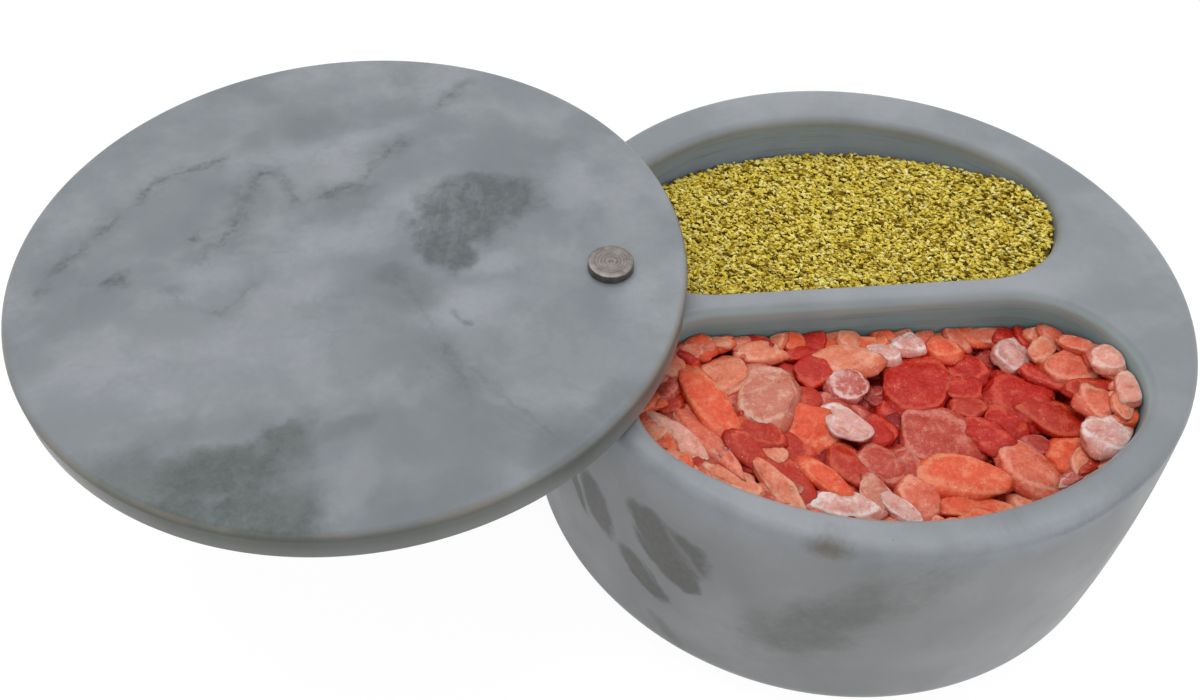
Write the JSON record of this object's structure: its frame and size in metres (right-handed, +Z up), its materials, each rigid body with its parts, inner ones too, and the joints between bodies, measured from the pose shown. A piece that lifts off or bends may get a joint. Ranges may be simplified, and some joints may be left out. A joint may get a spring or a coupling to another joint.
{
  "type": "salt cellar",
  "caption": "Round stone salt cellar: a low bowl with divided pockets under a flat stone lid that swings on a steel pin at the rim.",
  "frame": {"origin": "middle of the underside of the non-slip pad, where the cellar stands on the table, on the bowl's axis", "axes": "+Z up along the bowl's axis; -X towards the lid's pivot pin; the divider runs along X; -Y towards the larger pocket; the lid is stored swung open"},
  "size_m": [0.2245, 0.1353, 0.0641],
  "materials": {
    "bowl_stone": "honed grey marble, clouded and lightly veined",
    "lid_stone": "polished grey marble, clouded with darker grey-green veins",
    "steel": "turned stainless steel, fine circular marks",
    "nylon": "natural nylon, matte",
    "pad_foam": "fine-celled non-slip foam rubber, matte"
  },
  "bodies": {
    "base": {"bowl": "bowl_stone", "anchor_sleeve": "nylon", "pivot_pin": "steel", "spacer_washer": "nylon", "base_pad": "pad_foam"},
    "cover": {"lid": "lid_stone", "lid_bushing": "nylon"}
  },
  "joints": [
    {"name": "lid_swing", "type": "hinge", "parent": "base", "child": "cover", "pos_m": [-0.049, 0, 0.0593], "axis": [0, 0, 1], "continuous": true}
  ]
}
